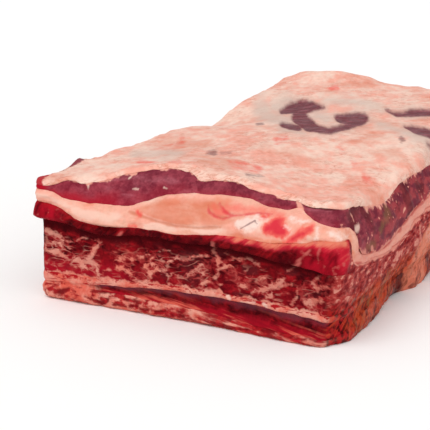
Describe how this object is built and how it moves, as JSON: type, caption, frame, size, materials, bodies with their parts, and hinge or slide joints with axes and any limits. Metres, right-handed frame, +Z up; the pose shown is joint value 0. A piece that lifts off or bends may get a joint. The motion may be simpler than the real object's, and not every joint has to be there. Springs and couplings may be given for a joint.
{
  "type": "raw beef short ribs",
  "caption": "Slab of raw beef short ribs, cut square, with a pale fat cap on top and bands of fat and marbled lean on its sides.",
  "frame": {"origin": "middle of the flat underside, between the front and back cuts", "axes": "+Z up through the fat cap, +Y from the front cut face to the back cut face, +X along the front cut face to the side with the rib ends"},
  "size_m": [0.1695, 0.3035, 0.0775],
  "materials": {
    "rib_base_fat": "moist pink fat and membrane",
    "rib_meat": "moist dark red lean",
    "lower_seam_fat": "moist pink-cream fat",
    "marbled_meat": "moist dark red lean with marbling",
    "flap_meat": "moist bright red lean",
    "seam_fat": "soft cream fat",
    "cap_meat": "moist purple-red lean",
    "fat_cap": "soft pale pink fat"
  },
  "bodies": {
    "root": {"rib_base_fat": "rib_base_fat", "rib_meat": "rib_meat", "lower_seam_fat": "lower_seam_fat", "marbled_meat": "marbled_meat", "flap_meat": "flap_meat", "seam_fat": "seam_fat", "cap_meat": "cap_meat", "fat_cap": "fat_cap"}
  },
  "joints": []
}
